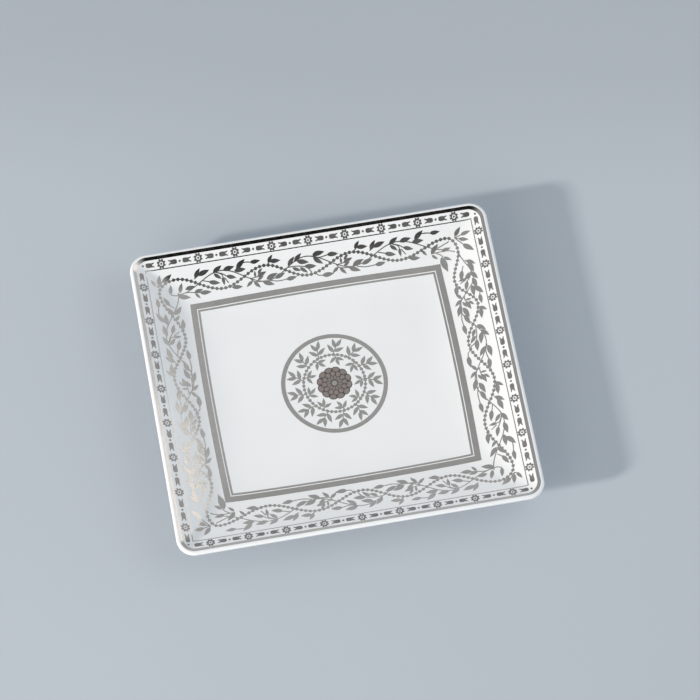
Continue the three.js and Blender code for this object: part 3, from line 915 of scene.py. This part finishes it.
def wave_at(turns, along):
    """Share across the border of a wave through turning points."""
    i = 0
    while i < len(turns) - 2 and along > turns[i + 1][0]:
        i += 1
    start, first = turns[i]
    end, second = turns[i + 1]
    share = min(1, max(0, (along - start) / (end - start)))
    return first + (second - first) * (1 - math.cos(math.pi * share)) / 2


def border_place(side, along, across):
    """Plan point from a place along the half side and across the border, as turning points have."""
    return side_place(side, along * half_side(side), BORDER_START + across * BORDER_WIDTH)


def wave_line(side, turns):
    """Points of a wave from its first turning point to its last."""
    line = []
    for (start, _), (end, _) in zip(turns, turns[1:]):
        for step in range(WAVE_STEPS):
            along = start + (end - start) * step / WAVE_STEPS
            line.append(border_place(side, along, wave_at(turns, along)))
    line.append(border_place(side, *turns[-1]))
    return line


def corner_line(side, end, neighbour):
    """The string's bend round the corner at a side's end, a quarter ellipse to the next side."""
    from_x = end[0] * half_side(side)
    from_setback = BORDER_START + end[1] * BORDER_WIDTH
    to_x = half_side(side) - BORDER_START - neighbour[1] * BORDER_WIDTH
    to_setback = half_side(side + 1) * (1 + neighbour[0])
    line = []
    for step in range(WAVE_STEPS + 1):
        angle = step / WAVE_STEPS * math.pi / 2
        along = from_x + (to_x - from_x) * math.sin(angle)
        setback = to_setback + (from_setback - to_setback) * math.cos(angle)
        line.append(side_place(side, along, setback))
    return line


def spray_place(side, turns, index, along, across):
    """Plan point of a place in a spray, which is drawn together where the wave is shorter."""
    middle = turns[index][0]
    beside = index + (1 if along > 0 else -1)
    if 0 <= beside < len(turns):
        along *= abs(turns[beside][0] - middle) * half_side(side) / HALF_WAVE
    return side_place(side, middle * half_side(side) + along, BORDER_START + across * BORDER_WIDTH)


def draw_border_spray(film, side, turns, index, spray):
    """The leaves and stalks of one turning point."""
    way = -side * math.pi / 2
    for along, across, lean, length in spray["leaves"]:
        foot = spray_place(side, turns, index, along, across)
        film.leaf(foot, way, lean, length)
    for stalk in spray["stalks"]:
        film.stalk([spray_place(side, turns, index, *place) for place in stalk])


def draw_fan(film, side, fan):
    """Leaves that fill the outer corner at the side's end."""
    root = side_place(side, half_side(side) - fan["root"][0], fan["root"][1])
    for before_end, setback, lean, length in fan["leaves"]:
        foot = side_place(side, half_side(side) - before_end, setback)
        film.stalk([root, foot])
        film.leaf(foot, -side * math.pi / 2, lean, length)


def build_border(side, name, node):
    """A bead string and a leafy stem that mirror each other across the border and cross between turns."""
    is_long = side % 2 == 0
    turns, ahead = (LONG_TURNS, SHORT_TURNS) if is_long else (SHORT_TURNS, LONG_TURNS)
    film = Film()
    string = wave_line(side, turns) + corner_line(side, turns[-1], ahead[0])[1:]
    film.ribbon(string, STRING_WIDTH, LINE_TOP)
    film.beads(string)
    stem_turns = [(along, 1 - across + (STEM_SINK if across < 0.5 else 0)) for along, across in turns]
    film.ribbon(wave_line(side, stem_turns), STEM_WIDTH, LINE_TOP)
    for index, spray in enumerate(LONG_SPRAYS if is_long else SHORT_SPRAYS):
        draw_border_spray(film, side, turns, index, spray)
    draw_fan(film, side, LONG_END_FAN if is_long else SHORT_END_FAN)
    film.lay(name, PLATINUM, node)


# Medallion

def draw_spray(film, foot, way, leaves):
    """A short stem with leaves on both sides."""
    turned = Turn(foot, way)
    last_distance = max(distance for _, distance, _ in leaves)
    film.ribbon([foot, turned(last_distance, 0)], STEM_WIDTH, LINE_TOP)
    for lean, distance, length in leaves:
        film.leaf(turned(distance, 0), way, lean, length)


def build_medallion():
    """A ring around a bead circle with leafy sprays on both sides."""
    ring = Film()
    half = RING_WIDTH / 2
    ring.ring((0, 0), RING_RADIUS - half, RING_RADIUS + half, LINE_TOP, CIRCLE_STEPS)
    ring.lay("medallion_circle", PLATINUM, "medallion_ring")
    wreath = Film()
    circle = [Turn((0, 0), 2 * math.pi * i / CIRCLE_STEPS)(WREATH_RADIUS, 0) for i in range(CIRCLE_STEPS + 1)]
    half = STRING_WIDTH / 2
    wreath.ring((0, 0), WREATH_RADIUS - half, WREATH_RADIUS + half, LINE_TOP, CIRCLE_STEPS)
    wreath.beads(circle, WREATH_BEADS)
    rounds = [
        (OUTER_SPRAYS, OUTER_SPRAY, OUTER_SPRAY_LEAN),
        (INNER_SPRAYS, INNER_SPRAY, 180 + INNER_SPRAY_LEAN),
    ]
    for count, leaves, lean in rounds:
        for i in range(count):
            place = 2 * math.pi * i / count
            foot = Turn((0, 0), place)(WREATH_RADIUS, 0)
            draw_spray(wreath, foot, place + math.radians(lean), leaves)
    wreath.lay("medallion_leaves", PLATINUM, "medallion_wreath")


def build_flower():
    """A dark scalloped ground, open under the eye, with rows of paler petals and the eye on it."""
    ground = Film()
    steps = FLOWER_PETALS * SCALLOP_STEPS
    rows = []
    for step in range(steps):
        angle = 2 * math.pi * step / steps
        swell = abs(math.cos(FLOWER_PETALS * angle / 2 - math.pi * FLOWER_TURN)) ** FLOWER_ROUNDNESS
        reach = FLOWER_RADIUS * (FLOWER_NOTCH + (1 - FLOWER_NOTCH) * swell)
        turned = Turn((0, 0), angle)
        rows.append([turned(FLOWER_EYE / 2, 0), turned(reach, 0)])
    ground.strip(rows, LINE_TOP, closed=True)
    ground.lay("flower_ground", GROUND_METAL, "medallion_rosette")
    petals = Film()
    for inner, outer, shift in FLOWER_ROWS:
        for i in range(FLOWER_PETALS):
            turned = Turn((0, 0), 2 * math.pi * (i + shift) / FLOWER_PETALS)
            rows = []
            for step in range(LEAF_STEPS + 1):
                share = step / LEAF_STEPS
                reach = inner + (outer - inner) * share
                room = reach * math.tan(math.pi / FLOWER_PETALS) * FLOWER_PETAL_FILL
                half = max(POINT_WIDTH / 2, room * math.sqrt(1 - (2 * share - 1) ** 2))
                rows.append([turned(reach, -half), turned(reach, half)])
            petals.strip(rows, PETAL_TOP)
    petals.lay("flower_petals", PETAL_METAL, "medallion_rosette")
    eye = Film()
    eye.disc((0, 0), FLOWER_EYE, PETAL_TOP, EYE_STEPS)
    eye.lay("flower_eye", PLATINUM, "medallion_rosette")


# Studio

def view_axes():
    """Rightwards, away from the camera and up, level with the floor."""
    azimuth = math.radians(CAMERA_AZIMUTH)
    right = Vector((math.cos(azimuth), math.sin(azimuth), 0))
    away = Vector((-math.sin(azimuth), math.cos(azimuth), 0))
    return right, away, Vector((0, 0, 1))


def direction(azimuth, elevation):
    """Unit vector from the tray towards a light."""
    right, away, up = view_axes()
    azimuth = math.radians(azimuth)
    elevation = math.radians(elevation)
    level = right * math.cos(azimuth) + away * math.sin(azimuth)
    return level * math.cos(elevation) + up * math.sin(elevation)


def build_camera():
    """The camera looks past the middle of the well, so that the tray sits aside in the picture."""
    right, away, up = view_axes()
    elevation = math.radians(CAMERA_ELEVATION)
    roll = math.radians(CAMERA_ROLL)
    back = up * math.sin(elevation) - away * math.cos(elevation)
    upright = away * math.sin(elevation) + up * math.cos(elevation)
    across = right * math.cos(roll) - upright * math.sin(roll)
    upwards = right * math.sin(roll) + upright * math.cos(roll)
    camera_data = bpy.data.cameras.new("camera")
    camera_data.lens = CAMERA_LENS
    camera_data.sensor_width = CAMERA_SENSOR
    camera = bpy.data.objects.new("camera", camera_data)
    bpy.context.collection.objects.link(camera)
    camera.matrix_world = Matrix((across, upwards, back)).transposed().to_4x4()
    aside = across * CAMERA_ASIDE[0] + upwards * CAMERA_ASIDE[1]
    camera.location = (aside + back * CAMERA_DISTANCE + up * WELL_LEVEL) * MM
    bpy.context.scene.camera = camera


def area_lamp(name, location, size, power, colour):
    """A square lamp that faces the middle of the tray."""
    lamp_data = bpy.data.lights.new(name, "AREA")
    lamp_data.size = size * MM
    lamp_data.energy = power
    lamp_data.color = colour
    lamp = bpy.data.objects.new(name, lamp_data)
    bpy.context.collection.objects.link(lamp)
    lamp.location = location * MM
    lamp.rotation_euler = (-lamp.location).to_track_quat("-Z", "Y").to_euler()


def build_lamps():
    """A far key lamp that casts the shadow, and two larger lamps nearer to the tray."""
    right, away, up = view_axes()
    key_location = direction(*KEY_DIRECTION) * KEY_DISTANCE
    area_lamp("key_lamp", key_location, KEY_SIZE, KEY_POWER, KEY_COLOUR)
    near_lamps = [
        ("front_fill", FILL_PLACE, FILL_SIZE, FILL_POWER, FILL_COLOUR),
        ("side_panel", PANEL_PLACE, PANEL_SIZE, PANEL_POWER, PANEL_COLOUR),
    ]
    for name, place, size, power, colour in near_lamps:
        area_lamp(name, right * place[0] + away * place[1] + up * place[2], size, power, colour)


def sky_light(nodes, links, towards, near, far, first, last, colour):
    """Light whose share of a colour goes from first to last between two angles from a direction."""
    place = nodes.new("ShaderNodeTexCoord")
    facing = nodes.new("ShaderNodeVectorMath")
    facing.operation = "DOT_PRODUCT"
    facing.inputs[1].default_value = direction(*towards)
    links.new(place.outputs["Generated"], facing.inputs[0])
    angle = nodes.new("ShaderNodeMath")
    angle.operation = "ARCCOSINE"
    links.new(facing.outputs["Value"], angle.inputs[0])
    level = nodes.new("ShaderNodeMapRange")
    level.inputs["From Min"].default_value = math.radians(near)
    level.inputs["From Max"].default_value = math.radians(far)
    level.inputs["To Min"].default_value = first
    level.inputs["To Max"].default_value = last
    links.new(angle.outputs["Value"], level.inputs["Value"])
    tinted = nodes.new("ShaderNodeVectorMath")
    tinted.operation = "SCALE"
    tinted.inputs[0].default_value = colour
    links.new(level.outputs["Result"], tinted.inputs["Scale"])
    return tinted.outputs["Vector"]


def build_world():
    """An even pale sky with soft lights, and a dark field on the camera's side as a black flag gives."""
    world = bpy.data.worlds.new("studio")
    bpy.context.scene.world = world
    world.use_nodes = True
    nodes = world.node_tree.nodes
    links = world.node_tree.links
    sky = sky_light(nodes, links, DARK_DIRECTION, DARK_CORE, DARK_EDGE, 0, 1, SKY_COLOUR)
    for towards, reach, colour in SOFT_LIGHTS:
        total = nodes.new("ShaderNodeVectorMath")
        total.operation = "ADD"
        links.new(sky, total.inputs[0])
        links.new(sky_light(nodes, links, towards, 0, reach, 1, 0, colour), total.inputs[1])
        sky = total.outputs["Vector"]
    links.new(sky, nodes["Background"].inputs["Color"])


def build_floor():
    """The paper lies square to the camera, so that its painted shade darkens it straight away from the
    camera.
    """
    half = FLOOR_SIZE * MM / 2
    mesh = bpy.data.meshes.new("floor")
    corners = [(-half, -half, 0), (half, -half, 0), (half, half, 0), (-half, half, 0)]
    mesh.from_pydata(corners, [], [(0, 1, 2, 3)])
    mesh.materials.append(floor_paper())
    floor = bpy.data.objects.new("floor", mesh)
    floor.rotation_euler.z = math.radians(CAMERA_AZIMUTH)
    bpy.context.collection.objects.link(floor)


build_body()
build_lines()
build_guard_line()
build_frieze()
for side, side_name in enumerate(["back", "right", "front", "left"]):
    build_border(side, "leafy_border_" + side_name, "vine_" + side_name)
build_medallion()
build_flower()
build_camera()
build_lamps()
build_world()
build_floor()
bpy.context.scene.view_settings.view_transform = "Standard"
